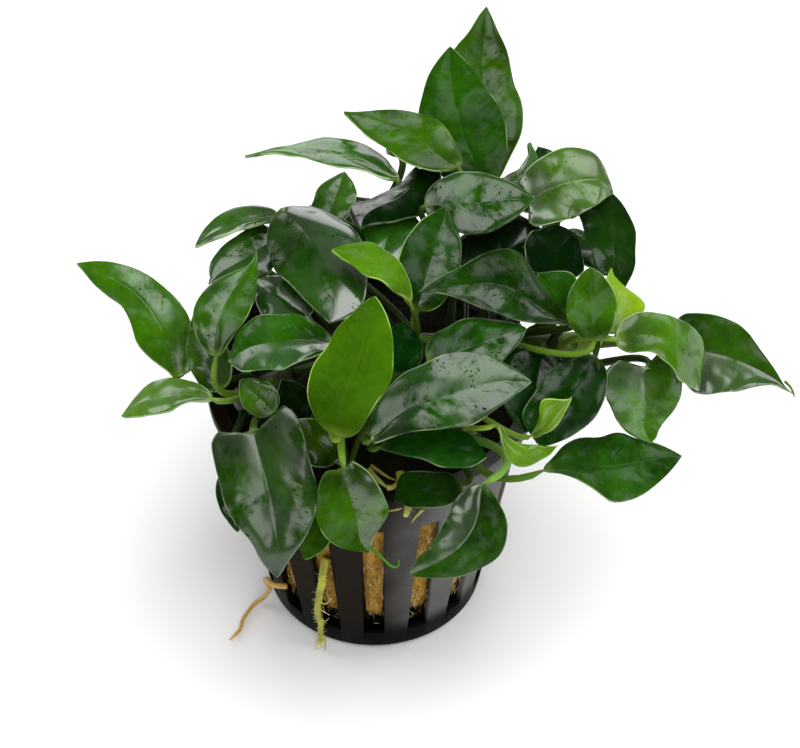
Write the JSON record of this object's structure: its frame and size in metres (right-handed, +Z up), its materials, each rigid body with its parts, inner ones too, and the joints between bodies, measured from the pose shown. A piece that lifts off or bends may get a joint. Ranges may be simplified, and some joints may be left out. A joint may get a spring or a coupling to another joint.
{
  "type": "anubias in net pot",
  "caption": "Small-leaved anubias water plant with creeping rhizomes and thin roots, growing from a plug of mineral wool in a slotted black net pot.",
  "frame": {"origin": "centre of the pot's foot, on the surface that the pot stands on", "axes": "+Z up along the pot's axis, -Y to the front of the plant as pictured, +X to its right"},
  "size_m": [0.1121, 0.0884, 0.0805],
  "materials": {
    "pot_plastic": "satin",
    "wool": "matte",
    "rhizome": "satin",
    "root": "satin",
    "leaf_dark": "gloss",
    "leaf_mid": "gloss",
    "leaf_lime": "gloss"
  },
  "bodies": {
    "root": {"net_pot": "pot_plastic", "wool_plug": "wool", "rhizome": "rhizome", "rhizome_front": "rhizome", "rhizome_back": "rhizome", "root_front": "root", "root_left": "root", "root_rim": "root", "leaf_01": "leaf_mid", "leaf_02": "leaf_mid", "leaf_03": "leaf_mid", "leaf_04": "leaf_mid", "leaf_05": "leaf_dark", "leaf_06": "leaf_mid", "leaf_07": "leaf_dark", "leaf_08": "leaf_mid", "leaf_09": "leaf_dark", "leaf_10": "leaf_mid", "leaf_11": "leaf_lime", "leaf_12": "leaf_dark", "leaf_13": "leaf_lime", "leaf_14": "leaf_mid", "leaf_15": "leaf_dark", "leaf_16": "leaf_mid", "leaf_17": "leaf_dark", "leaf_18": "leaf_dark", "leaf_19": "leaf_dark", "leaf_20": "leaf_dark", "leaf_21": "leaf_dark", "leaf_22": "leaf_dark", "leaf_23": "leaf_dark", "leaf_24": "leaf_dark", "leaf_25": "leaf_dark", "leaf_26": "leaf_mid", "leaf_27": "leaf_mid", "leaf_28": "leaf_dark", "leaf_29": "leaf_dark", "leaf_30": "leaf_dark", "leaf_31": "leaf_mid", "leaf_32": "leaf_mid", "leaf_33": "leaf_mid", "leaf_34": "leaf_lime", "leaf_35": "leaf_dark", "leaf_36": "leaf_lime", "leaf_37": "leaf_lime", "leaf_38": "leaf_mid", "leaf_39": "leaf_mid", "leaf_40": "leaf_dark", "leaf_41": "leaf_dark", "leaf_42": "leaf_dark", "leaf_43": "leaf_dark", "leaf_44": "leaf_dark", "leaf_45": "leaf_dark", "leaf_46": "leaf_mid", "leaf_47": "leaf_dark", "leaf_48": "leaf_dark", "leaf_49": "leaf_mid", "leaf_50": "leaf_dark", "leaf_51": "leaf_dark", "leaf_52": "leaf_dark"}
  },
  "joints": []
}
